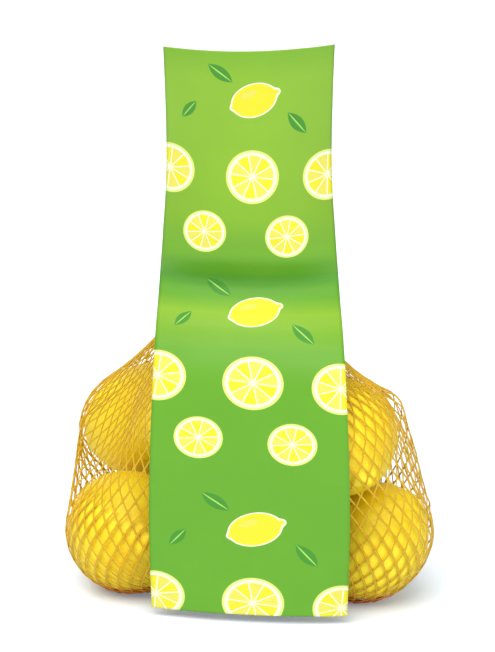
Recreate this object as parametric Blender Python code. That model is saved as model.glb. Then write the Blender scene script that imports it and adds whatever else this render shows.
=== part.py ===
"""A net of lemons: a net bag full of fruit between two bands of printed film.

The net is drawn tight over nine lemons and gathered to a neck above them. A front and a
back band of film lie over the net, close in on its neck and run on above it as a stiff,
curled header. The front faces -Y, +Z is up and the origin is on the ground below the
middle of the bag. Lengths are in millimetres until the last step makes them metres.
"""

import math

import bmesh
import bpy
import numpy as np
from mathutils import Vector
from mathutils.bvhtree import BVHTree

MM = 0.001

# Fruit: centre, direction of the long axis, half length and half thickness.
LEMONS = {
    "front_left": ((-63.0, -20.5, 31.5), (0.40, -1.0, 0.05), 36.5, 31.5),
    "front_middle": ((-1.0, -34.0, 29.5), (0.10, 1.0, -0.05), 36.0, 29.5),
    "front_right": ((62.8, -39.0, 32.0), (0.6, -0.3, 0.7), 35.0, 28.5),
    "rear_left": ((-33.5, 49.3, 29.0), (1.0, 0.20, 0.0), 35.0, 29.0),
    "rear_right": ((36.0, 44.0, 29.5), (1.0, -0.15, 0.05), 35.0, 29.5),
    "top_left": ((-54.5, 25.3, 78.8), (0.65, -0.37, 0.40), 37.5, 28.5),
    "top_right": ((45.5, -46.5, 90.3), (0.45, -0.8, -0.45), 34.0, 30.3),
    "top_front": ((-20.0, -36.5, 99.0), (1.0, 0.25, 0.2), 36.0, 28.0),
    "top_rear": ((18.0, 25.0, 84.5), (0.9, 0.4, -0.3), 36.0, 28.5),
}
LEMON_SIDES = 40

# Slack in the net, where it stands off the fruit at the right and the left: the centre and
# radius of the first and last of a row of balls that would hold it out.
SLACK_ROWS = (
    (((64.6, -28.0, 95.0), 15.5), ((83.9, -25.0, 44.5), 10.0)),
    (((-76.5, 8.8, 77.5), 12.0), ((-80.0, -14.0, 51.0), 12.0)),
)
SLACK_BALLS = 8

# The net's wall, and how far it is drawn in between one lemon and the next.
NET_THICKNESS = 1.0
DRAW_IN_SHARE = 0.15
DRAW_IN_MOST = 2.5

# Hollows, where loose net sinks in over a wide gap in the fruit: how wide the gap has to be,
# the share of the rest of it that the net sinks by, and the most. They lie between two
# heights and run out above and below them over the given distance.
HOLLOW_FROM = 13.0
HOLLOW_SHARE = 0.75
HOLLOW_MOST = 26.0
HOLLOW_HEIGHTS = (38.0, 98.0)
HOLLOW_FADE = 18.0

# A dip in the net's right shoulder, below the neck: depth, height, and how far it spreads
# up and down and, in radians, round the bag.
DIP_DEPTH = 15.0
DIP_Z = 120.0
DIP_SPREAD_Z = 10.5
DIP_SPREAD_ANGLE = 0.7

# The gathered neck: a flattened ring, and the tail of net that runs up between the bands.
NECK_CENTRE = (-4.0, -28.0)
NECK_Z = 170.0
NECK_HALF_WIDTH = 18.0
NECK_HALF_DEPTH = 4.5
TAIL_Z = (173.0, 179.0)
TAIL_CENTRE_Y = (-29.0, -33.0)
TAIL_SHARE = 0.75

# The skin of the bag is a stack of rings around a leaning axis.
BASE_CENTRE = (0.0, -2.0)
RINGS = 34
RING_POINTS = 72
BASE_SLICE_Z = 0.3
DEPTH_SMOOTHING = 5
SKIN_SMOOTHING = 2
RAY_START = 300.0

# Film bands. Each row of a profile is: height, y at the middle, how far the edges lie
# behind the middle, how far the right edge is turned towards the front, and half the span.
FILM_THICKNESS = 0.8
FRONT_PROFILE = (
    (290.0, -44.0, 16.0, -3.0, 43.2),
    (264.0, -41.5, 17.0, -1.5, 42.4),
    (237.0, -40.0, 18.0, 0.0, 42.0),
    (213.0, -43.5, 18.5, 1.0, 42.6),
    (198.0, -46.0, 17.0, 2.0, 43.6),
    (186.0, -44.0, 14.0, 3.0, 44.4),
    (176.0, -40.0, 11.5, 4.0, 45.2),
    (168.0, -38.5, 9.0, 5.0, 45.8),
    (160.0, -43.0, 7.5, 5.5, 46.4),
    (151.0, -53.0, 6.0, 6.5, 47.2),
    (141.0, -63.5, 4.0, 7.0, 47.9),
    (124.0, -71.5, 3.0, 7.5, 48.8),
    (90.0, -76.3, 2.0, 7.5, 50.2),
    (55.0, -76.9, 2.0, 7.5, 51.0),
    (28.0, -76.9, 3.0, 7.5, 50.6),
    (4.5, -76.4, 5.0, 7.0, 50.0),
)
BACK_PROFILE = (
    (290.0, -41.8, 16.0, -3.0, 43.2),
    (264.0, -39.3, 17.0, -1.5, 42.4),
    (237.0, -37.8, 18.0, 0.0, 42.0),
    (213.0, -41.3, 18.5, 1.0, 42.0),
    (200.0, -42.5, 16.5, 2.0, 42.0),
    (189.0, -36.0, 12.0, 2.0, 42.0),
    (178.0, -24.0, 6.0, 1.0, 43.0),
    (168.0, -14.5, 1.0, 0.0, 45.0),
    (156.0, -4.0, -3.0, 0.0, 46.0),
    (130.0, 22.0, -4.0, 0.0, 47.5),
    (110.0, 43.0, -5.0, 0.0, 48.5),
    (85.0, 63.0, -5.0, 0.0, 50.0),
    (55.0, 77.5, -3.0, 0.0, 50.5),
    (28.0, 82.2, -3.0, 0.0, 50.5),
    (4.5, 82.2, -4.0, 0.0, 50.0),
)
FILM_COLUMNS = 10
FILM_ROWS = 56

FILM_GREEN = (0.20, 0.55, 0.06)
NET_YELLOW = (0.90, 0.55, 0.05)


def clear_scene():
    for item in list(bpy.data.objects):
        bpy.data.objects.remove(item, do_unlink=True)


def make_material(name, colour, roughness):
    material = bpy.data.materials.new(name)
    material.use_nodes = True
    shader = material.node_tree.nodes["Principled BSDF"]
    shader.inputs["Base Color"].default_value = (*colour, 1.0)
    shader.inputs["Roughness"].default_value = roughness
    shader.inputs["Metallic"].default_value = 0.0
    return material


def add_object(name, points, faces, material):
    """One mesh object from points in millimetres."""
    mesh = bpy.data.meshes.new(name)
    mesh.from_pydata([Vector(point) * MM for point in points], [], faces)
    mesh.validate()
    mesh.materials.append(material)
    mesh.shade_smooth()
    mesh.set_sharp_from_angle(angle=math.radians(50))
    item = bpy.data.objects.new(name, mesh)
    bpy.context.scene.collection.objects.link(item)
    return item


def ellipsoid_points(centre, axis, half_length, half_thickness):
    """Rings of points on a lemon inside the net, cut off flat where it meets the ground."""
    turn = Vector((0.0, 0.0, 1.0)).rotation_difference(Vector(axis))
    rings = []
    for row in range(LEMON_SIDES // 2 + 1):
        latitude = math.pi * row / (LEMON_SIDES // 2)
        ring = []
        for column in range(LEMON_SIDES):
            longitude = 2.0 * math.pi * column / LEMON_SIDES
            across = math.sin(latitude) * (half_thickness + NET_THICKNESS)
            local = Vector((
                across * math.cos(longitude),
                across * math.sin(longitude),
                math.cos(latitude) * (half_length + NET_THICKNESS),
            ))
            point = Vector(centre) + turn @ local
            point.z = max(point.z, 0.0)
            ring.append(point)
        rings.append(ring)
    return rings


def slack_balls():
    """Centres and radii of the balls that hold the slack net out."""
    balls = []
    for (top, top_radius), (bottom, bottom_radius) in SLACK_ROWS:
        for index in range(SLACK_BALLS):
            share = index / (SLACK_BALLS - 1)
            centre = Vector(top).lerp(Vector(bottom), share)
            balls.append((centre, top_radius + (bottom_radius - top_radius) * share))
    return balls


def all_supports():
    """Everything that holds the net out: the fruit and the slack supports."""
    supports = [ellipsoid_points(*lemon) for lemon in LEMONS.values()]
    for centre, radius in slack_balls():
        supports.append(ellipsoid_points(centre, (0.0, 0.0, 1.0), radius, radius))
    return supports


def supports_tree(supports):
    """A ray target made of all the supports' own surfaces."""
    points = []
    faces = []
    for rings in supports:
        start = len(points)
        for ring in rings:
            points.extend(ring)
        for row in range(len(rings) - 1):
            for column in range(LEMON_SIDES):
                after = (column + 1) % LEMON_SIDES
                low = start + row * LEMON_SIDES
                high = low + LEMON_SIDES
                faces.append((low + column, high + column, high + after, low + after))
    return BVHTree.FromPolygons(points, faces)


def neck_ring(share=1.0):
    """The gathered neck's outline, as offsets from its centre."""
    offsets = []
    for column in range(RING_POINTS):
        angle = 2.0 * math.pi * column / RING_POINTS
        offsets.append((
            share * NECK_HALF_WIDTH * math.cos(angle),
            share * NECK_HALF_DEPTH * math.sin(angle),
        ))
    return offsets


def tight_hull_tree(supports):
    """A ray target for the net if it were drawn tight over everything below the neck."""
    builder = bmesh.new()
    for rings in supports:
        for ring in rings:
            for point in ring:
                builder.verts.new(point)
    for offset in neck_ring():
        builder.verts.new((NECK_CENTRE[0] + offset[0], NECK_CENTRE[1] + offset[1], NECK_Z))
    bmesh.ops.convex_hull(builder, input=builder.verts)
    loose = [vertex for vertex in builder.verts if not vertex.link_faces]
    bmesh.ops.delete(builder, geom=loose, context="VERTS")
    tree = BVHTree.FromBMesh(builder)
    builder.free()
    return tree


def reach(tree, centre, angle, height):
    """How far from the axis a ray that comes in from outside meets the surface."""
    outward = Vector((math.cos(angle), math.sin(angle), 0.0))
    start = Vector((centre[0], centre[1], height)) + outward * RAY_START
    hit = tree.ray_cast(start, -outward, RAY_START)
    return None if hit[0] is None else RAY_START - hit[3]


def smooth_rings(values, passes):
    """Evens out the kinks between neighbours, round each ring and up the bag."""
    for _ in range(passes):
        values = (np.roll(values, 1, axis=1) + 2.0 * values + np.roll(values, -1, axis=1)) / 4.0
        middle = (values[:-2] + 2.0 * values[1:-1] + values[2:]) / 4.0
        values = np.vstack((values[:1], middle, values[-1:]))
    return values


def draw_in(gap, height):
    """How far the net lies inside its tight shape, over a gap in the fruit."""
    if gap is None:
        return DRAW_IN_MOST
    low, high = HOLLOW_HEIGHTS
    outside = max(low - height, height - high, 0.0)
    fade = max(0.0, 1.0 - outside / HOLLOW_FADE)
    hollow = min(max(gap - HOLLOW_FROM, 0.0) * HOLLOW_SHARE, HOLLOW_MOST)
    return min(gap * DRAW_IN_SHARE, DRAW_IN_MOST) + fade * hollow


def shoulder_dip(angle, height):
    """How far the net sinks in at a place on its right shoulder."""
    from_right = min(angle, 2.0 * math.pi - angle)
    return DIP_DEPTH * math.exp(
        -((height - DIP_Z) / DIP_SPREAD_Z) ** 2 - (from_right / DIP_SPREAD_ANGLE) ** 2
    )


def make_net_bag(material):
    supports = all_supports()
    fruit = supports_tree(supports)
    hull = tight_hull_tree(supports)
    heights = []
    centres = []
    tight = np.zeros((RINGS, RING_POINTS))
    backed = np.zeros((RINGS, RING_POINTS))
    depth = np.zeros((RINGS, RING_POINTS))
    for row in range(RINGS):
        share = row / RINGS
        height = NECK_Z * (0.5 * share + 0.5 * share ** 2)
        lean = height / NECK_Z
        centre = tuple(
            base + (neck - base) * lean for base, neck in zip(BASE_CENTRE, NECK_CENTRE)
        )
        heights.append(height)
        centres.append(centre)
        for column in range(RING_POINTS):
            angle = 2.0 * math.pi * column / RING_POINTS
            slice_height = max(height, BASE_SLICE_Z)
            outer = reach(hull, centre, angle, slice_height)
            inner = reach(fruit, centre, angle, slice_height)
            gap = None if inner is None else outer - inner
            tight[row, column] = outer
            backed[row, column] = 0.0 if inner is None else inner
            depth[row, column] = draw_in(gap, height) + shoulder_dip(angle, height)
    radii = np.maximum(tight - smooth_rings(depth, DEPTH_SMOOTHING), backed)
    radii = smooth_rings(radii, SKIN_SMOOTHING)

    rings = []
    for height, centre, ring in zip(heights, centres, radii):
        rings.append([
            (
                centre[0] + ring[column] * math.cos(2.0 * math.pi * column / RING_POINTS),
                centre[1] + ring[column] * math.sin(2.0 * math.pi * column / RING_POINTS),
                height,
            )
            for column in range(RING_POINTS)
        ])
    rings.append([(NECK_CENTRE[0] + x, NECK_CENTRE[1] + y, NECK_Z) for x, y in neck_ring()])
    for height, centre_y in zip(TAIL_Z, TAIL_CENTRE_Y):
        rings.append([
            (NECK_CENTRE[0] + x, centre_y + y, height) for x, y in neck_ring(TAIL_SHARE)
        ])

    points = [point for ring in rings for point in ring]
    faces = []
    for row in range(len(rings) - 1):
        for column in range(RING_POINTS):
            after = (column + 1) % RING_POINTS
            low = row * RING_POINTS
            high = low + RING_POINTS
            faces.append((low + column, low + after, high + after, high + column))
    bottom = len(points)
    points.append((*BASE_CENTRE, 0.0))
    top = len(points)
    points.append((NECK_CENTRE[0], TAIL_CENTRE_Y[-1], TAIL_Z[-1]))
    last = (len(rings) - 1) * RING_POINTS
    for column in range(RING_POINTS):
        after = (column + 1) % RING_POINTS
        faces.append((bottom, after, column))
        faces.append((top, last + column, last + after))
    return add_object("net_bag", points, faces, material)


def smooth_value(rows, column, place):
    """A value of the profile between its rows, on a Catmull-Rom curve through them."""
    index = min(int(place), len(rows) - 2)
    part = place - index
    before, start, end, beyond = (
        rows[min(max(index + step, 0), len(rows) - 1)][column] for step in (-1, 0, 1, 2)
    )
    return 0.5 * (
        2.0 * start
        + (end - before) * part
        + (2.0 * before - 5.0 * start + 4.0 * end - beyond) * part ** 2
        + (3.0 * start - before - 3.0 * end + beyond) * part ** 3
    )


def make_band(name, profile, material):
    """One band of film: a curved strip of even width, given its thickness by Solidify."""
    points = []
    for row in range(FILM_ROWS + 1):
        place = (len(profile) - 1) * row / FILM_ROWS
        height, middle_y, curl, turn, half_span = (
            smooth_value(profile, column, place) for column in range(5)
        )
        for column in range(FILM_COLUMNS + 1):
            side = 2.0 * column / FILM_COLUMNS - 1.0
            points.append((
                half_span * side,
                middle_y + curl * side ** 2 - turn * side,
                height,
            ))
    faces = []
    columns = FILM_COLUMNS + 1
    for row in range(FILM_ROWS):
        for column in range(FILM_COLUMNS):
            upper = row * columns + column
            lower = upper + columns
            faces.append((upper, lower, lower + 1, upper + 1))
    band = add_object(name, points, faces, material)
    solidify = band.modifiers.new("film_thickness", "SOLIDIFY")
    solidify.thickness = FILM_THICKNESS * MM
    solidify.offset = 0.0
    return band


def main():
    clear_scene()
    net = make_material("net", NET_YELLOW, 0.5)
    film = make_material("film", FILM_GREEN, 0.35)
    make_net_bag(net)
    make_band("front_band", FRONT_PROFILE, film)
    make_band("back_band", BACK_PROFILE, film)


main()
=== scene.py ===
"""The looks of a net of lemons: fruit, knotted net, and two bands of printed film.

Lengths are in millimetres until a mesh is made, where MM turns them into metres.
The bag stands on the floor at z = 0 with its printed front towards -Y.
"""

import math

import bmesh
import bpy
import numpy as np
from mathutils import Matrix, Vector, noise
from mathutils.bvhtree import BVHTree


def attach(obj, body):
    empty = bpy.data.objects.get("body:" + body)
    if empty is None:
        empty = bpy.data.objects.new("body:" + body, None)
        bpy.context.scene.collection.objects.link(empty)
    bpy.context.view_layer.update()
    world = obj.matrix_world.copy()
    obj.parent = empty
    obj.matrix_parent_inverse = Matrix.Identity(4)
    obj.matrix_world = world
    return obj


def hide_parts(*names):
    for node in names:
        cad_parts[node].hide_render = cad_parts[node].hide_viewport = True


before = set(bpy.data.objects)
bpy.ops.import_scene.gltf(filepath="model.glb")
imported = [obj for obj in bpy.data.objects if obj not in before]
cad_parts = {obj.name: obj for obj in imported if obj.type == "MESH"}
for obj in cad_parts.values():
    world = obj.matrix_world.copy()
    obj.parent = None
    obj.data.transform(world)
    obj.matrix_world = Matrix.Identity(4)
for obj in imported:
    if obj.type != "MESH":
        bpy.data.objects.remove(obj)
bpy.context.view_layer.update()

MM = 0.001

# Camera: the photograph's height and scale at the target, and the angle it looks down at.
IMAGE_HEIGHT = 652
PIXEL_SIZE = 0.52
CAMERA_DISTANCE = 2000.0
CAMERA_ELEVATION = math.radians(15.0)
CAMERA_TARGET = (-0.8, 0.0, 136.5)
SENSOR = 36.0
CAMERA_CLIP_END = 50.0

# Light: a soft sun from the upper left, a lamp at the right, one behind, and an even sky.
KEY_DIRECTION = (0.15, 0.55, -0.93)
KEY_STRENGTH = 2.76
KEY_COLOUR = (1.0, 0.94, 0.86)
KEY_ANGLE = math.radians(50.0)
FILL_POWER = 3.0
FILL_PLACE = (1300.0, -1100.0, 500.0)
REAR_POWER = 7.0
REAR_PLACE = (-500.0, 1500.0, 900.0)
LAMP_TARGET = (0.0, 0.0, 110.0)
LAMP_SIZE = 900.0
SKY_STRENGTH = 0.52
FLOOR_HALF = 6000.0
FLOOR_GLOW = 0.21
FLOOR_GLOW_COLOUR = (0.50, 0.72, 1.0, 1.0)
FLOOR_TONES = ((0.3, (0.81, 0.87, 0.95)), (0.7, (0.83, 0.89, 0.97)))

# Fruit, close to what shaped the solids: centre, direction of the nippled end, half length
# and half thickness.
LEMONS = {
    "front_left": ((-63.0, -20.5, 31.5), (0.40, -1.0, 0.05), 36.5, 31.5),
    "front_middle": ((-1.0, -34.0, 29.5), (0.10, 1.0, -0.05), 36.0, 29.5),
    "front_right": ((62.8, -39.0, 32.0), (0.6, -0.3, 0.7), 35.8, 28.9),
    "rear_left": ((-33.5, 49.3, 29.0), (1.0, 0.20, 0.0), 35.0, 29.0),
    "rear_right": ((36.0, 44.0, 29.5), (1.0, -0.15, 0.05), 35.0, 29.5),
    "top_left": ((-54.5, 25.3, 78.8), (0.65, -0.37, 0.40), 38.7, 29.1),
    "top_right": ((45.5, -46.5, 90.3), (0.45, -0.8, -0.45), 34.0, 30.3),
    "top_front": ((-20.0, -36.5, 99.0), (1.0, 0.25, 0.2), 36.0, 28.0),
    "top_rear": ((18.0, 25.0, 84.5), (0.9, 0.4, -0.3), 36.0, 28.5),
}
LEMON_SEGMENTS = 112
LEMON_RINGS = 84
PEEL_INSET = 0.4
BODY_SHORTENING = 2.2
END_TAPER = 0.07
NIPPLE_LENGTH = 3.4
NIPPLE_SPREAD = 0.29
STEM_LENGTH = 2.2
STEM_SPREAD = 0.30
STEM_DIMPLE = 1.6
STEM_DIMPLE_SPREAD = 0.09
LEMON_FLOOR = 0.9

# Unevenness of the fruit: how often and how much. The seed differs from lemon to lemon.
LUMPS_EACH_WAY = 1.9
LUMP_SHARE = 0.016
RIPPLES_EACH_WAY = 6.5
RIPPLE_SHARE = 0.004
SEED_START = 1.7
SEED_STEP = 3.1
WARMTH_STEP = 7.0

# Peel: colours, and noise scales for its patches, specks, pores and soft dents.
PALE_PEEL = (0.99, 0.83, 0.030, 1.0)
DEEP_PEEL = (0.98, 0.71, 0.012, 1.0)
WARM_PEEL = (0.98, 0.68, 0.012, 1.0)
SPECK = (0.72, 0.40, 0.01, 1.0)
SPECK_SHARES = ((0.60, (0.0, 0.0, 0.0)), (0.78, (0.35, 0.35, 0.35)))
PIT_SHARES = ((0.0, (0.0, 0.0, 0.0)), (0.45, (1.0, 1.0, 1.0)))
PATCH_SCALE = 34.0
SPECK_SCALE = 420.0
PORE_SCALE = 520.0
DENT_SCALE = 110.0

# Slack in the net, as in the solids: the first and last of each row of balls that would
# hold it off the fruit.
SLACK_ROWS = (
    (((64.6, -28.0, 95.0), 15.5), ((83.9, -25.0, 44.5), 10.0)),
    (((-76.5, 8.8, 77.5), 12.0), ((-80.0, -14.0, 51.0), 12.0)),
)
SLACK_BALLS = 8

# Net: strands round the bag, the side of one open diamond, and the strand itself.
NET_STRANDS = 76
DIAMOND_SIDE = 7.2
LEAST_HALF_HEIGHT = 2.0
STRAND_WIDTH = 1.45
THIN_STRAND_WIDTH = 0.95
THINNING_Z = (40.0, 100.0)
STRAND_DEPTH = 0.62
STRAND_FLOOR = 0.02
KNOT_SWELL = 0.35
STRAND_SIDES = 6
STRAND_STEPS = 3

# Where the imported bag's skin is measured, from the middle of its base up to the tail.
RING_RAYS = 240
RAY_START = 300.0
BASE_SLICE_Z = 0.4
BASE_STATIONS = 50
BASE_HOLE = 0.06
SIDE_STATIONS = 150
TAIL_WIDTH_SHARE = 0.75
TAIL_STATIONS = (0.5, 1.0)
NECK_CENTRE = (-4.0, -28.0)
NECK_HALF_WIDTH = 17.0
NECK_HALF_DEPTH = 4.0
NECK_Z = 169.0
TAIL_Z = 178.0
TAIL_Y = -33.0
BASE_CENTRE = (0.0, -2.0)

# How the net is drawn tight over the fruit, and the heights of the line inside the bag
# that the broad sides of its strands face.
RELAX_PASSES = 60
RELAX_TENSION = 1.02
NET_CLEARANCE = 0.6
STRAND_AXIS_Z = (30.0, 130.0)

# Colours of the net: along its strands, and a painted shade near the floor, darker and more
# orange, where the net lies under the fruit.
NET_TONES = ((0.3, (0.58, 0.35, 0.012)), (0.7, (0.68, 0.42, 0.018)))
NET_FLOOR_SHADE = (0.62, 0.18, 0.02, 1.0)
NET_SHADE_HEIGHT = 11.0
NET_SHADE_SHARES = ((0.25, (1.0, 1.0, 1.0)), (1.0, (0.0, 0.0, 0.0)))

# Film bands, as in the solids: height, y at the middle, curl back of the edges, turn
# of the right edge towards the front, and half the span.
FILM_WIDTH = 101.0
FILM_THICKNESS = 0.15
FRONT_PROFILE = (
    (290.0, -44.0, 16.0, -3.0, 43.2),
    (264.0, -41.5, 17.0, -1.5, 42.4),
    (237.0, -40.0, 18.0, 0.0, 42.0),
    (213.0, -43.5, 18.5, 1.0, 42.6),
    (198.0, -46.0, 17.0, 2.0, 43.6),
    (186.0, -44.0, 14.0, 3.0, 44.4),
    (176.0, -40.0, 11.5, 4.0, 45.2),
    (168.0, -38.5, 9.0, 5.0, 45.8),
    (160.0, -43.0, 7.5, 5.5, 46.4),
    (151.0, -53.0, 6.0, 6.5, 47.2),
    (141.0, -63.5, 4.0, 7.0, 47.9),
    (124.0, -71.5, 3.0, 7.5, 48.8),
    (90.0, -76.3, 2.0, 7.5, 50.2),
    (55.0, -76.9, 2.0, 7.5, 51.0),
    (28.0, -76.9, 3.0, 7.5, 50.6),
    (4.5, -76.4, 5.0, 7.0, 50.0),
)
BACK_PROFILE = (
    (290.0, -41.8, 16.0, -3.0, 43.2),
    (264.0, -39.3, 17.0, -1.5, 42.4),
    (237.0, -37.8, 18.0, 0.0, 42.0),
    (213.0, -41.3, 18.5, 1.0, 42.0),
    (200.0, -42.5, 16.5, 2.0, 42.0),
    (189.0, -36.0, 12.0, 2.0, 42.0),
    (178.0, -24.0, 6.0, 1.0, 43.0),
    (168.0, -14.5, 1.0, 0.0, 45.0),
    (156.0, -4.0, -3.0, 0.0, 46.0),
    (130.0, 22.0, -4.0, 0.0, 47.5),
    (110.0, 43.0, -5.0, 0.0, 48.5),
    (85.0, 63.0, -5.0, 0.0, 50.0),
    (55.0, 77.5, -3.0, 0.0, 50.5),
    (28.0, 82.2, -3.0, 0.0, 50.5),
    (4.5, 82.2, -4.0, 0.0, 50.0),
)
# Folds across the film at the pinch: height, and how far back the film goes there.
FOLDS = ((168.0, 1.7), (181.5, -1.9), (154.0, -0.8))
FOLD_SPREAD = 6.0
# Soft ripples of the film: how quick across and up, which cut of the noise, how deep at
# the middle, and how much deeper at the edges.
RIPPLES = ((1.3, 0.012, 4.0, 0.5, 0.8), (3.0, 0.05, 9.0, 0.10, 0.25))
FILM_COLUMNS = 48
FILM_ROWS = 260

# Print on the film, measured across from its middle and up from its lower edge.
PRINT_PITCH = 115.3
PRINT_UNIT = 100.0
GROUND_LENGTH = 320.0
STAMP_SQUASH = 0.85
# Printed shapes: kind, place across and up, radius, and turn. They repeat up the film.
STAMPS = (
    ("slice", -48.0, 8.0, 15.0, 0.2),
    ("slice", 2.0, 6.5, 16.0, 0.5),
    ("slice", 47.5, 4.5, 15.0, 0.9),
    ("slice", -26.0, 93.0, 12.6, 0.1),
    ("slice", 22.0, 91.0, 12.7, 0.7),
    ("lemon", 3.0, 46.0, 17.0, 0.35),
    ("leaf", -17.0, 60.0, 9.0, 2.5),
    ("leaf", 29.0, 33.0, 9.0, 5.4),
    ("leaf", -36.0, 40.0, 7.0, 0.9),
)
# Parts of the shapes, as shares of their radius.
SLICE_SEGMENTS = 10
THREAD_HALF_WIDTH = 0.024
SEGMENT_ROUNDING = 0.05
FLESH_RADIUS = 0.80
PITH_RADIUS = 0.915
LEAF_HALF_WIDTH = 0.42
VEIN_HALF_WIDTH = 0.05

# Colours of the print. The ground changes up the band between a leaf green and a yellower
# lime. The paler lime just below the pinch is painted light where the film faces up. The paler
# lime on the header is partly print and partly painted light. The deeper green over the pinch
# is painted shade where the film turns in. Places are shares of GROUND_LENGTH.
LEAF_GREEN = (0.121, 0.364, 0.020)
PINCH_SHADE_GREEN = (0.099, 0.338, 0.032)
LIME_GREEN = (0.202, 0.412, 0.025)
PALE_LIME_AND_SHEEN = (0.242, 0.466, 0.029)
PRINT_GROUND_AND_SHADING = (
    (0.43, LEAF_GREEN),
    (0.50, PALE_LIME_AND_SHEEN),
    (0.53, LEAF_GREEN),
    (0.56, PINCH_SHADE_GREEN),
    (0.58, LEAF_GREEN),
    (0.68, LIME_GREEN),
    (0.82, PALE_LIME_AND_SHEEN),
    (0.90, PALE_LIME_AND_SHEEN),
    (1.00, LEAF_GREEN),
)
PITH = (0.80, 0.86, 0.62, 1.0)
RIND = (0.68, 0.75, 0.20, 1.0)
FLESH = (0.76, 0.70, 0.025, 1.0)
PALE_FLESH = (0.74, 0.68, 0.10, 1.0)
LEAF = (0.055, 0.27, 0.025, 1.0)
VEIN = (0.36, 0.66, 0.10, 1.0)
INK_TONES = ((0.3, (0.96, 0.96, 0.96)), (0.7, (1.0, 1.0, 1.0)))
REVERSE_TONES = ((0.3, (0.80, 0.83, 0.76)), (0.7, (0.86, 0.88, 0.82)))


class Nodes:
    """Short ways to add shader nodes to one tree."""

    def __init__(self, tree):
        self.tree = tree

    def add(self, kind, **settings):
        node = self.tree.nodes.new(kind)
        for name, value in settings.items():
            setattr(node, name, value)
        return node

    def feed(self, socket, value):
        if hasattr(value, "is_output"):
            self.tree.links.new(value, socket)
        else:
            socket.default_value = value

    def math(self, operation, *values):
        node = self.add("ShaderNodeMath", operation=operation)
        for socket, value in zip(node.inputs, values):
            self.feed(socket, value)
        return node.outputs[0]

    # Sockets of a colour mix: 0 is the share, 6 and 7 the colours, and 2 the result.
    def mix(self, share, first, second):
        node = self.add("ShaderNodeMix", data_type="RGBA")
        self.feed(node.inputs[0], share)
        self.feed(node.inputs[6], first)
        self.feed(node.inputs[7], second)
        return node.outputs[2]

    def multiply(self, first, second):
        node = self.add("ShaderNodeMix", data_type="RGBA", blend_type="MULTIPLY")
        self.feed(node.inputs[0], 1.0)
        self.feed(node.inputs[6], first)
        self.feed(node.inputs[7], second)
        return node.outputs[2]

    def noise(self, coordinates, scale, detail=2.0):
        node = self.add("ShaderNodeTexNoise")
        self.feed(node.inputs["Vector"], coordinates)
        node.inputs["Scale"].default_value = scale
        node.inputs["Detail"].default_value = detail
        return node.outputs[0]

    def ramp(self, value, stops):
        node = self.add("ShaderNodeValToRGB")
        self.feed(node.inputs[0], value)
        elements = node.color_ramp.elements
        while len(elements) < len(stops):
            elements.new(0.5)
        for element, (place, colour) in zip(elements, stops):
            element.position = place
            element.color = colour if len(colour) == 4 else (*colour, 1.0)
        return node.outputs[0]

    def bump(self, height, strength, distance, normal=None):
        node = self.add("ShaderNodeBump")
        node.inputs["Strength"].default_value = strength
        node.inputs["Distance"].default_value = distance
        self.feed(node.inputs["Height"], height)
        if normal is not None:
            self.feed(node.inputs["Normal"], normal)
        return node.outputs[0]


def new_material(name, roughness, specular=0.5):
    material = bpy.data.materials.new(name)
    material.use_nodes = True
    shader = material.node_tree.nodes["Principled BSDF"]
    shader.inputs["Roughness"].default_value = roughness
    shader.inputs["Specular IOR Level"].default_value = specular
    return material, shader, Nodes(material.node_tree)


def peel_material(name, seed, warmth):
    """Waxy lemon peel: pores, specks, and soft patches of a deeper yellow."""
    material, shader, nodes = new_material(name, roughness=0.48, specular=0.32)
    place = nodes.add("ShaderNodeTexCoord").outputs["Object"]
    shifted = nodes.add("ShaderNodeVectorMath", operation="ADD")
    nodes.feed(shifted.inputs[0], place)
    shifted.inputs[1].default_value = (seed, 2.0 * seed, -seed)
    place = shifted.outputs[0]
    patches = nodes.noise(place, PATCH_SCALE, detail=3.0)
    deep = [cool + (warm - cool) * warmth for cool, warm in zip(DEEP_PEEL, WARM_PEEL)]
    colour = nodes.ramp(patches, ((0.30, deep), (0.62, PALE_PEEL)))
    specks = nodes.noise(place, SPECK_SCALE)
    colour = nodes.mix(nodes.ramp(specks, SPECK_SHARES), colour, SPECK)
    nodes.feed(shader.inputs["Base Color"], colour)
    pores = nodes.add("ShaderNodeTexVoronoi", feature="SMOOTH_F1")
    nodes.feed(pores.inputs["Vector"], place)
    pores.inputs["Scale"].default_value = PORE_SCALE
    pits = nodes.ramp(pores.outputs["Distance"], PIT_SHARES)
    fine = nodes.bump(pits, strength=0.35, distance=0.0004)
    dents = nodes.noise(place, DENT_SCALE)
    broad = nodes.bump(dents, strength=0.10, distance=0.0010, normal=fine)
    nodes.feed(shader.inputs["Normal"], broad)
    shader.inputs["Subsurface Weight"].default_value = 0.12
    shader.inputs["Subsurface Radius"].default_value = (0.008, 0.004, 0.001)
    return material


def net_material():
    """Extruded netting: yellow gold plastic, a little lighter and darker along its strands."""
    material, shader, nodes = new_material("net", roughness=0.45, specular=0.2)
    place = nodes.add("ShaderNodeTexCoord").outputs["Object"]
    colour = nodes.ramp(nodes.noise(place, scale=90.0), NET_TONES)
    split = nodes.add("ShaderNodeSeparateXYZ")
    nodes.feed(split.inputs[0], place)
    # Painted shade: near the floor, under the fruit, the strands turn darker and more orange.
    lifted = nodes.math("DIVIDE", split.outputs[2], NET_SHADE_HEIGHT * MM)
    colour = nodes.mix(nodes.ramp(lifted, NET_SHADE_SHARES), colour, NET_FLOOR_SHADE)
    nodes.feed(shader.inputs["Base Color"], colour)
    grain = nodes.bump(nodes.noise(place, scale=900.0), strength=0.15, distance=0.0003)
    nodes.feed(shader.inputs["Normal"], grain)
    return material


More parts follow.
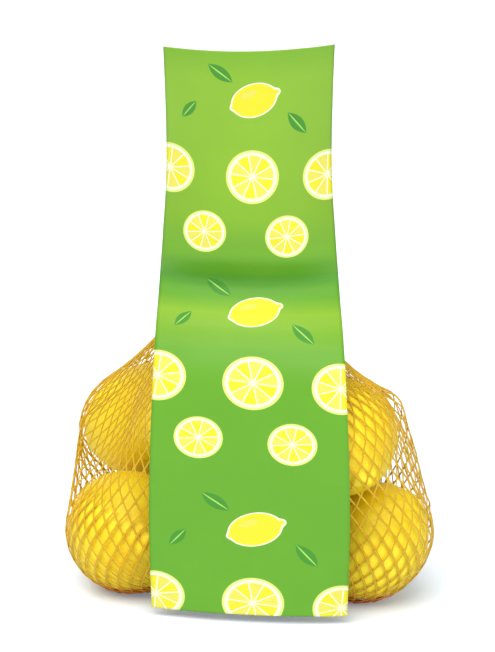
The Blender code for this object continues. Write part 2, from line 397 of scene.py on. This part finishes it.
class Stamp(Nodes):
    """One printed shape as a node group. Its outline fits a circle of radius 1."""

    def __init__(self, name):
        tree = bpy.data.node_groups.new(name, "ShaderNodeTree")
        super().__init__(tree)
        for socket in ("across", "up"):
            tree.interface.new_socket(
                name=socket, in_out="INPUT", socket_type="NodeSocketFloat")
        tree.interface.new_socket(name="mask", in_out="OUTPUT", socket_type="NodeSocketFloat")
        tree.interface.new_socket(name="colour", in_out="OUTPUT", socket_type="NodeSocketColor")
        self.across, self.up = self.add("NodeGroupInput").outputs[:2]
        self.mask, self.colour = self.add("NodeGroupOutput").inputs[:2]

    def distance(self, centre_across, centre_up, squash=1.0):
        """How far a place is from a centre; squash makes the rounds into ovals."""
        x = self.math("SUBTRACT", self.across, centre_across)
        y = self.math("DIVIDE", self.math("SUBTRACT", self.up, centre_up), squash)
        return self.math(
            "SQRT", self.math("ADD", self.math("MULTIPLY", x, x), self.math("MULTIPLY", y, y)))

    def below(self, value, limit):
        return self.math("LESS_THAN", value, limit)


def slice_stamp():
    """A round cut of citrus: rind, pith, segments and the threads between them."""
    stamp = Stamp("slice")
    radius = stamp.distance(0.0, 0.0)
    angle = stamp.math("ARCTAN2", stamp.up, stamp.across)
    place = stamp.math("MULTIPLY", angle, SLICE_SEGMENTS / math.tau)
    whole = stamp.math("FLOOR", place)
    part = stamp.math("SUBTRACT", place, whole)
    from_middle = stamp.math("ABSOLUTE", stamp.math("SUBTRACT", part, 0.5))
    edge_angle = stamp.math(
        "MULTIPLY", stamp.math("SUBTRACT", 0.5, from_middle), math.tau / SLICE_SEGMENTS)
    to_thread = stamp.math(
        "SUBTRACT", stamp.math("MULTIPLY", radius, stamp.math("SINE", edge_angle)),
        THREAD_HALF_WIDTH)
    to_pith = stamp.math("SUBTRACT", FLESH_RADIUS, radius)
    inside = stamp.math("SMOOTH_MIN", to_thread, to_pith, SEGMENT_ROUNDING)
    odd = stamp.math("PINGPONG", whole, 1.0)
    flesh = stamp.mix(odd, FLESH, PALE_FLESH)
    colour = stamp.mix(stamp.below(inside, 0.0), flesh, PITH)
    stamp.feed(stamp.colour, stamp.mix(stamp.below(radius, PITH_RADIUS), RIND, colour))
    stamp.feed(stamp.mask, stamp.below(radius, 1.0))
    return stamp.tree


def lemon_stamp():
    """A whole lemon with a pale outline and a soft light on its upper side."""
    stamp = Stamp("lemon")
    body_radius, nipple_radius, stem_radius = 0.84, 0.12, 0.08
    body = stamp.math("SUBTRACT", stamp.distance(0.0, 0.0, squash=0.72), body_radius)
    nipple = stamp.math("SUBTRACT", stamp.distance(0.86, 0.0), nipple_radius)
    stem = stamp.math("SUBTRACT", stamp.distance(-0.82, 0.0), stem_radius)
    outline = stamp.math("SMOOTH_MIN", stamp.math("SMOOTH_MIN", body, nipple, 0.22), stem, 0.2)
    light = stamp.distance(-0.12, 0.27, squash=0.38)
    colour = stamp.mix(stamp.below(light, 0.30), FLESH, PALE_FLESH)
    stamp.feed(stamp.colour, stamp.mix(stamp.below(outline, -0.06), PITH, colour))
    stamp.feed(stamp.mask, stamp.below(outline, 0.0))
    return stamp.tree


def leaf_stamp():
    """A pointed leaf with its middle vein."""
    stamp = Stamp("leaf")
    taper = stamp.math("SUBTRACT", 1.0, stamp.math("MULTIPLY", stamp.across, stamp.across))
    beside = stamp.math("ABSOLUTE", stamp.up)
    edge = stamp.math("SUBTRACT", beside, stamp.math("MULTIPLY", taper, LEAF_HALF_WIDTH))
    vein = stamp.math("SUBTRACT", beside, stamp.math("MULTIPLY", taper, VEIN_HALF_WIDTH))
    stamp.feed(stamp.colour, stamp.mix(stamp.below(vein, 0.0), LEAF, VEIN))
    stamp.feed(stamp.mask, stamp.below(edge, 0.0))
    return stamp.tree


def printed_film_material():
    """Leaf green film with its printed shapes, on the side that faces out. Its ground colour also
    holds painted shade over the pinch and painted light where the film faces up.
    """
    trees = {"slice": slice_stamp(), "lemon": lemon_stamp(), "leaf": leaf_stamp()}
    material, shader, nodes = new_material("printed_film", roughness=0.48, specular=0.3)
    uv = nodes.add("ShaderNodeUVMap", uv_map="print").outputs[0]
    split = nodes.add("ShaderNodeSeparateXYZ")
    nodes.feed(split.inputs[0], uv)
    across = nodes.math("MULTIPLY", split.outputs[0], PRINT_UNIT)
    up = nodes.math("MULTIPLY", split.outputs[1], PRINT_UNIT)
    # The ground colour: print, with painted shade over the pinch and painted light where the film
    # faces up.
    ground_and_shading = nodes.ramp(nodes.math("DIVIDE", up, GROUND_LENGTH), PRINT_GROUND_AND_SHADING)
    shade = nodes.ramp(nodes.noise(uv, scale=3.0), INK_TONES)
    colour = nodes.multiply(ground_and_shading, shade)
    for kind, stamp_across, stamp_up, size, turn in STAMPS:
        # The nearest repeat of this shape, up or down the band.
        offset = nodes.math("SUBTRACT", up, stamp_up - 0.5 * PRINT_PITCH)
        repeat = nodes.math("FLOORED_MODULO", offset, PRINT_PITCH)
        above = nodes.math("SUBTRACT", repeat, 0.5 * PRINT_PITCH)
        y = nodes.math("DIVIDE", above, size * STAMP_SQUASH)
        x = nodes.math("DIVIDE", nodes.math("SUBTRACT", across, stamp_across), size)
        cosine = math.cos(turn)
        sine = math.sin(turn)
        turned_x = nodes.math(
            "ADD", nodes.math("MULTIPLY", x, cosine), nodes.math("MULTIPLY", y, sine))
        turned_y = nodes.math(
            "SUBTRACT", nodes.math("MULTIPLY", y, cosine), nodes.math("MULTIPLY", x, sine))
        stamp = nodes.add("ShaderNodeGroup", node_tree=trees[kind])
        nodes.feed(stamp.inputs[0], turned_x)
        nodes.feed(stamp.inputs[1], turned_y)
        colour = nodes.mix(stamp.outputs[0], colour, stamp.outputs[1])
    nodes.feed(shader.inputs["Base Color"], colour)
    return material


def film_reverse_material():
    """The unprinted side and the cut edge of the film."""
    material, shader, nodes = new_material("film_reverse", roughness=0.45)
    place = nodes.add("ShaderNodeTexCoord").outputs["Object"]
    colour = nodes.ramp(nodes.noise(place, scale=40.0), REVERSE_TONES)
    nodes.feed(shader.inputs["Base Color"], colour)
    return material


def mesh_object(name, points, faces, materials):
    """A smooth mesh from points in millimetres."""
    mesh = bpy.data.meshes.new(name)
    mesh.from_pydata(np.asarray(points, float) * MM, [], faces)
    for material in materials:
        mesh.materials.append(material)
    mesh.shade_smooth()
    item = bpy.data.objects.new(name, mesh)
    bpy.context.scene.collection.objects.link(item)
    return item


def lemon_shape(point, half_length, half_thickness, seed):
    """Where a point of the unit ball goes on a lemon whose nippled end is up."""
    along = point.z
    ring = math.sqrt(max(0.0, 1.0 - along * along))
    body = half_length - BODY_SHORTENING
    height = body * along
    width = half_thickness * ring * (1.0 - END_TAPER * along ** 4)
    if along > 0.0:
        height += NIPPLE_LENGTH * math.exp(-(ring / NIPPLE_SPREAD) ** 2)
    else:
        height -= STEM_LENGTH * math.exp(-(ring / STEM_SPREAD) ** 2)
        height += STEM_DIMPLE * math.exp(-(ring / STEM_DIMPLE_SPREAD) ** 2)
    scale = width / ring if ring > 1e-6 else 0.0
    place = Vector((point.x * scale, point.y * scale, height))
    lumps = noise.noise(point * LUMPS_EACH_WAY + Vector((seed, 0.0, 0.0)))
    ripples = noise.noise(point * RIPPLES_EACH_WAY + Vector((0.0, seed, 0.0)))
    return place * (1.0 + LUMP_SHARE * lumps + RIPPLE_SHARE * ripples)


def make_lemon(name, centre, axis, half_length, half_thickness, seed):
    """A lemon in its place, pressed flat where it rests on the floor."""
    builder = bmesh.new()
    bmesh.ops.create_uvsphere(
        builder, u_segments=LEMON_SEGMENTS, v_segments=LEMON_RINGS, radius=1.0)
    turn = Vector((0.0, 0.0, 1.0)).rotation_difference(Vector(axis))
    for vertex in builder.verts:
        local = lemon_shape(vertex.co.copy(), half_length, half_thickness - PEEL_INSET, seed)
        place = Vector(centre) + turn @ local
        place.z = max(place.z, LEMON_FLOOR)
        vertex.co = place * MM
    mesh = bpy.data.meshes.new(name)
    builder.to_mesh(mesh)
    builder.free()
    mesh.shade_smooth()
    mesh.materials.append(peel_material(name + "_peel", seed, (seed * WARMTH_STEP) % 1.0))
    item = bpy.data.objects.new(name, mesh)
    bpy.context.scene.collection.objects.link(item)
    return item


def catmull_rom(before, start, end, beyond, part):
    """A place between start and end on the smooth curve through four."""
    return 0.5 * (
        2.0 * start
        + (end - before) * part
        + (2.0 * before - 5.0 * start + 4.0 * end - beyond) * part ** 2
        + (3.0 * start - before - 3.0 * end + beyond) * part ** 3
    )


def smooth_value(rows, column, place):
    """A value of the profile between its rows, on a smooth curve through them."""
    index = min(int(place), len(rows) - 2)
    last = len(rows) - 1
    values = [rows[min(max(index + step, 0), last)][column] for step in (-1, 0, 1, 2)]
    return catmull_rom(*values, place - index)


def band_points(profile):
    """The film's surface as rows of points, and how far down the film each row lies."""
    rows = []
    for row in range(FILM_ROWS + 1):
        place = (len(profile) - 1) * row / FILM_ROWS
        height, middle_y, curl, turn, half_span = (
            smooth_value(profile, column, place) for column in range(5)
        )
        points = []
        for column in range(FILM_COLUMNS + 1):
            side = 2.0 * column / FILM_COLUMNS - 1.0
            points.append((
                half_span * side,
                middle_y + curl * side ** 2 - turn * side + film_ripple(side, height),
                height,
            ))
        rows.append(points)
    rows = np.array(rows)
    middle = rows[:, FILM_COLUMNS // 2]
    steps = np.linalg.norm(np.diff(middle, axis=0), axis=1)
    return rows, np.concatenate(([0.0], np.cumsum(steps)))


def film_ripple(side, height):
    """How far back the film lies: folds at the pinch, and soft ripples at its loose edges."""
    back = sum(
        depth * math.exp(-((height - middle) / FOLD_SPREAD) ** 2) for middle, depth in FOLDS
    )
    for across, up, cut, at_middle, at_edges in RIPPLES:
        size = at_middle + at_edges * side * side
        back += size * noise.noise(Vector((side * across, height * up, cut)))
    return back


def make_band(name, profile, side_out, materials):
    """One band of film. Its printed side faces -Y where side_out is -1 and +Y where it is 1."""
    rows, lengths = band_points(profile)
    columns = FILM_COLUMNS + 1
    faces = []
    for row in range(FILM_ROWS):
        for column in range(FILM_COLUMNS):
            upper = row * columns + column
            lower = upper + columns
            face = (upper, lower, lower + 1, upper + 1)
            faces.append(face if side_out < 0 else face[::-1])
    band = mesh_object(name, rows.reshape(-1, 3), faces, materials)
    layer = band.data.uv_layers.new(name="print")
    total = lengths[-1]
    for loop in band.data.loops:
        row, column = divmod(loop.vertex_index, columns)
        across = FILM_WIDTH * (column / FILM_COLUMNS - 0.5) * -side_out
        layer.data[loop.index].uv = (across / PRINT_UNIT, (total - lengths[row]) / PRINT_UNIT)
    solidify = band.modifiers.new("film_thickness", "SOLIDIFY")
    solidify.thickness = FILM_THICKNESS * MM
    solidify.offset = -1.0
    solidify.material_offset = 1
    solidify.material_offset_rim = 1
    return band


def even_ring(points, count):
    """The same closed ring with its points at even steps, from the same first point."""
    closed = np.vstack((points, points[:1]))
    lengths = np.concatenate(
        ([0.0], np.cumsum(np.linalg.norm(np.diff(closed, axis=0), axis=1))))
    places = lengths[-1] * np.arange(count) / count
    return np.column_stack([np.interp(places, lengths, closed[:, axis]) for axis in range(3)])


def bag_surface():
    """Points on the bag's skin: one row for each station from the base's middle to the tail.

    Each row goes round from the middle of the front.
    """
    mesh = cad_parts["net_bag"].data
    points = [vertex.co / MM for vertex in mesh.vertices]
    tree = BVHTree.FromPolygons(points, [tuple(face.vertices) for face in mesh.polygons])
    columns = 2 * NET_STRANDS
    angles = [math.tau * step / RING_RAYS - 0.5 * math.pi for step in range(RING_RAYS)]

    def skin(height):
        lean = height / NECK_Z
        centre = Vector((
            BASE_CENTRE[0] + (NECK_CENTRE[0] - BASE_CENTRE[0]) * lean,
            BASE_CENTRE[1] + (NECK_CENTRE[1] - BASE_CENTRE[1]) * lean,
            height,
        ))
        ring = []
        for angle in angles:
            outward = Vector((math.cos(angle), math.sin(angle), 0.0))
            ring.append(tree.ray_cast(centre + outward * RAY_START, -outward, RAY_START)[0])
        return even_ring(np.array(ring), columns)

    rim = skin(BASE_SLICE_Z)
    middle = np.array((*BASE_CENTRE, STRAND_DEPTH))
    rows = []
    for station in range(BASE_STATIONS):
        share = BASE_HOLE + (1.0 - BASE_HOLE) * station / BASE_STATIONS
        ring = middle + (rim - middle) * share
        ring[:, 2] = STRAND_DEPTH
        rows.append(ring)
    for station in range(SIDE_STATIONS):
        share = (station + 1) / SIDE_STATIONS
        rows.append(skin(STRAND_DEPTH + (NECK_Z - STRAND_DEPTH) * share))
    for share in TAIL_STATIONS:
        rows.append(even_ring(np.array([
            (
                NECK_CENTRE[0] + TAIL_WIDTH_SHARE * NECK_HALF_WIDTH * math.cos(angle),
                NECK_CENTRE[1] + (TAIL_Y - NECK_CENTRE[1]) * share
                + TAIL_WIDTH_SHARE * NECK_HALF_DEPTH * math.sin(angle),
                NECK_Z + (TAIL_Z - NECK_Z) * share,
            )
            for angle in angles
        ]), columns))
    return np.array(rows)


def net_crossings():
    """Where the strands meet. Odd rows are half a diamond further round.

    A diamond keeps the length of its sides, so it grows tall where the bag is narrow.
    """
    surface = bag_surface()
    steps = np.linalg.norm(np.diff(surface, axis=0), axis=2).mean(axis=1)
    around = np.linalg.norm(np.roll(surface, -1, axis=1) - surface, axis=2).sum(axis=1)
    half_width = around / NET_STRANDS / 2.0
    half_height = np.sqrt(np.maximum(DIAMOND_SIDE ** 2 - half_width ** 2, LEAST_HALF_HEIGHT ** 2))
    rows_up = np.concatenate(([0.0], np.cumsum(steps / half_height[:-1])))
    count = int(rows_up[-1])
    crossings = np.zeros((count + 1, NET_STRANDS, 3))
    for row in range(count + 1):
        place = row * rows_up[-1] / count
        index = min(int(np.searchsorted(rows_up, place, side="right")) - 1, len(rows_up) - 2)
        part = (place - rows_up[index]) / (rows_up[index + 1] - rows_up[index])
        ring = surface[index] * (1.0 - part) + surface[index + 1] * part
        crossings[row] = ring[row % 2::2]
    return crossings


def slack_balls():
    """Centres and radii of the balls that hold the slack net out."""
    balls = []
    for (top, top_radius), (bottom, bottom_radius) in SLACK_ROWS:
        for index in range(SLACK_BALLS):
            share = index / (SLACK_BALLS - 1)
            centre = Vector(top).lerp(Vector(bottom), share)
            balls.append((centre, top_radius + (bottom_radius - top_radius) * share))
    return balls


def keep_outside_fruit(crossings):
    """Moves crossings that are inside a lemon or a ball of slack out to just off its surface."""
    for centre, axis, half_length, half_thickness in LEMONS.values():
        unit = np.array(Vector(axis).normalized())
        offset = crossings - np.array(centre)
        along = offset @ unit
        across = offset - along[..., None] * unit
        reach = np.sqrt(
            (along / (half_length + NET_CLEARANCE)) ** 2
            + (np.linalg.norm(across, axis=-1) / (half_thickness + NET_CLEARANCE)) ** 2
        )
        inside = reach < 1.0
        crossings[inside] = np.array(centre) + offset[inside] / reach[inside][:, None]
    for centre, radius in slack_balls():
        offset = crossings - np.array(centre)
        distance = np.linalg.norm(offset, axis=-1)
        inside = distance < radius + NET_CLEARANCE
        crossings[inside] = np.array(centre) + (
            (radius + NET_CLEARANCE) * offset[inside] / distance[inside][:, None]
        )
    return crossings


def relax_net(crossings):
    """Draws the net tight: no side of a diamond stays longer than the net was made."""
    rest = DIAMOND_SIDE * RELAX_TENSION
    last = len(crossings) - 1
    for _ in range(RELAX_PASSES):
        for parity in (0, 1):
            lower_rows = np.arange(parity, last, 2)
            for step in (0, 1):
                shift = -step if parity == 1 else 1 - step
                lower = crossings[lower_rows]
                upper = np.roll(crossings[lower_rows + 1], shift, axis=1)
                gap = upper - lower
                length = np.linalg.norm(gap, axis=2, keepdims=True)
                pull = np.maximum(length - rest, 0.0) / np.maximum(length, 1e-6) * gap * 0.5
                lower_move = np.where((lower_rows == 0)[:, None, None], 0.0, pull)
                upper_move = np.where((lower_rows + 1 == last)[:, None, None], 0.0, pull)
                crossings[lower_rows] = lower + lower_move
                crossings[lower_rows + 1] = np.roll(upper - upper_move, -shift, axis=1)
        crossings = keep_outside_fruit(crossings)
        crossings[..., 2] = np.maximum(crossings[..., 2], STRAND_DEPTH)
    return crossings


def strand_path(crossings, start, lean):
    """One strand's way up the bag from crossing to crossing, leaning left or right."""
    path = []
    column = start
    for row in range(len(crossings)):
        path.append(crossings[row, column % NET_STRANDS])
        if lean > 0:
            column += row % 2
        else:
            column -= 1 - row % 2
    return np.array(path)


def smooth_path(path, steps):
    """Points on a smooth curve through the path, and how near each is to a knot."""
    padded = np.vstack((2 * path[0] - path[1], path, 2 * path[-1] - path[-2]))
    points = []
    nearness = []
    for index in range(1, len(padded) - 2):
        for step in range(steps):
            points.append(catmull_rom(*padded[index - 1:index + 3], step / steps))
            nearness.append(1.0 if step == 0 else 0.0)
    points.append(path[-1])
    nearness.append(1.0)
    return np.array(points), np.array(nearness)


def strand_tube(path, nearness, axis_points):
    """A flattened tube along the strand, its broad side lying against the fruit."""
    along = np.gradient(path, axis=0)
    along /= np.maximum(np.linalg.norm(along, axis=1, keepdims=True), 1e-9)
    outward = path - axis_points
    outward -= (outward * along).sum(axis=1, keepdims=True) * along
    outward /= np.maximum(np.linalg.norm(outward, axis=1, keepdims=True), 1e-9)
    sideways = np.cross(along, outward)
    swell = (1.0 + KNOT_SWELL * nearness)[:, None, None]
    width = np.interp(path[:, 2], THINNING_Z, (STRAND_WIDTH, THIN_STRAND_WIDTH))
    angles = math.tau * np.arange(STRAND_SIDES) / STRAND_SIDES
    ring = (
        0.5 * width[:, None, None] * np.cos(angles)[None, :, None] * sideways[:, None, :]
        + 0.5 * STRAND_DEPTH * np.sin(angles)[None, :, None] * outward[:, None, :]
    )
    tube = path[:, None, :] + swell * ring
    tube[..., 2] = np.maximum(tube[..., 2], STRAND_FLOOR)
    return tube


def make_strands(name, crossings, lean, material):
    """All strands that lean one way, as one mesh. Their broad sides face a line up the bag."""
    points = []
    faces = []
    for start in range(NET_STRANDS):
        path, nearness = smooth_path(strand_path(crossings, start, lean), STRAND_STEPS)
        axis_points = np.column_stack((
            np.full(len(path), NECK_CENTRE[0] * 0.5),
            np.full(len(path), NECK_CENTRE[1] * 0.5),
            np.clip(path[:, 2], *STRAND_AXIS_Z),
        ))
        tube = strand_tube(path, nearness, axis_points)
        first = len(points)
        points.extend(tube.reshape(-1, 3))
        for row in range(len(tube) - 1):
            for side in range(STRAND_SIDES):
                after = (side + 1) % STRAND_SIDES
                low = first + row * STRAND_SIDES
                high = low + STRAND_SIDES
                faces.append((low + side, high + side, high + after, low + after))
        faces.append(tuple(first + side for side in range(STRAND_SIDES)))
        last = first + (len(tube) - 1) * STRAND_SIDES
        faces.append(tuple(last + side for side in reversed(range(STRAND_SIDES))))
    return mesh_object(name, points, faces, [material])


def make_floor():
    """A wide white floor. Its weak blue glow keeps the shadow on it neutral."""
    material, shader, nodes = new_material("floor", roughness=0.6, specular=0.3)
    place = nodes.add("ShaderNodeTexCoord").outputs["Object"]
    colour = nodes.ramp(nodes.noise(place, scale=2.0), FLOOR_TONES)
    nodes.feed(shader.inputs["Base Color"], colour)
    shader.inputs["Emission Color"].default_value = FLOOR_GLOW_COLOUR
    shader.inputs["Emission Strength"].default_value = FLOOR_GLOW
    corners = [
        (FLOOR_HALF * x, FLOOR_HALF * y, 0.0) for x, y in ((-1, -1), (1, -1), (1, 1), (-1, 1))
    ]
    floor = mesh_object("floor", corners, [(0, 1, 2, 3)], [material])


def add_lamp(name, place, power):
    data = bpy.data.lights.new(name, "AREA")
    data.shape = "DISK"
    data.size = LAMP_SIZE * MM
    data.energy = power
    lamp = bpy.data.objects.new(name, data)
    lamp.location = Vector(place) * MM
    direction = Vector(LAMP_TARGET) - Vector(place)
    lamp.rotation_mode = "QUATERNION"
    lamp.rotation_quaternion = direction.to_track_quat("-Z", "Y")
    bpy.context.scene.collection.objects.link(lamp)


def make_lights():
    """A broad soft sun from the upper left, a weak lamp at the right, one behind, and a sky."""
    data = bpy.data.lights.new("key", "SUN")
    data.energy = KEY_STRENGTH
    data.color = KEY_COLOUR
    data.angle = KEY_ANGLE
    key = bpy.data.objects.new("key", data)
    key.rotation_mode = "QUATERNION"
    key.rotation_quaternion = Vector(KEY_DIRECTION).to_track_quat("-Z", "Y")
    bpy.context.scene.collection.objects.link(key)
    add_lamp("fill", FILL_PLACE, FILL_POWER)
    add_lamp("rear", REAR_PLACE, REAR_POWER)
    world = bpy.data.worlds.new("studio")
    world.use_nodes = True
    background = world.node_tree.nodes["Background"]
    background.inputs["Color"].default_value = (1.0, 1.0, 1.0, 1.0)
    background.inputs["Strength"].default_value = SKY_STRENGTH
    bpy.context.scene.world = world
    bpy.context.scene.view_settings.view_transform = "Standard"


def make_camera():
    data = bpy.data.cameras.new("camera")
    data.sensor_width = SENSOR
    data.lens = SENSOR * CAMERA_DISTANCE / (IMAGE_HEIGHT * PIXEL_SIZE)
    data.clip_end = CAMERA_CLIP_END
    camera = bpy.data.objects.new("camera", data)
    back = Vector((0.0, -math.cos(CAMERA_ELEVATION), math.sin(CAMERA_ELEVATION)))
    camera.location = (Vector(CAMERA_TARGET) + back * CAMERA_DISTANCE) * MM
    camera.rotation_mode = "QUATERNION"
    camera.rotation_quaternion = (-back).to_track_quat("-Z", "Y")
    bpy.context.scene.collection.objects.link(camera)
    bpy.context.scene.camera = camera


def place_piece(piece, slot, *nodes):
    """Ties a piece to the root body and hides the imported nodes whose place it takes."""
    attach(piece, "root")
    if nodes:
        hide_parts(*nodes)


def main():
    make_camera()
    make_lights()
    make_floor()
    for index, (name, lemon) in enumerate(LEMONS.items()):
        seed = SEED_START + SEED_STEP * index
        place_piece(make_lemon("lemon_" + name, *lemon, seed), "lemon")
    crossings = relax_net(net_crossings())
    net = net_material()
    place_piece(make_strands("net_strands_right", crossings, 1, net), "net", "net_bag")
    place_piece(make_strands("net_strands_left", crossings, -1, net), "net", "net_bag")
    films = [printed_film_material(), film_reverse_material()]
    place_piece(make_band("front_film", FRONT_PROFILE, -1, films), "film", "front_band")
    place_piece(make_band("back_film", BACK_PROFILE, 1, films), "film", "back_band")


main()
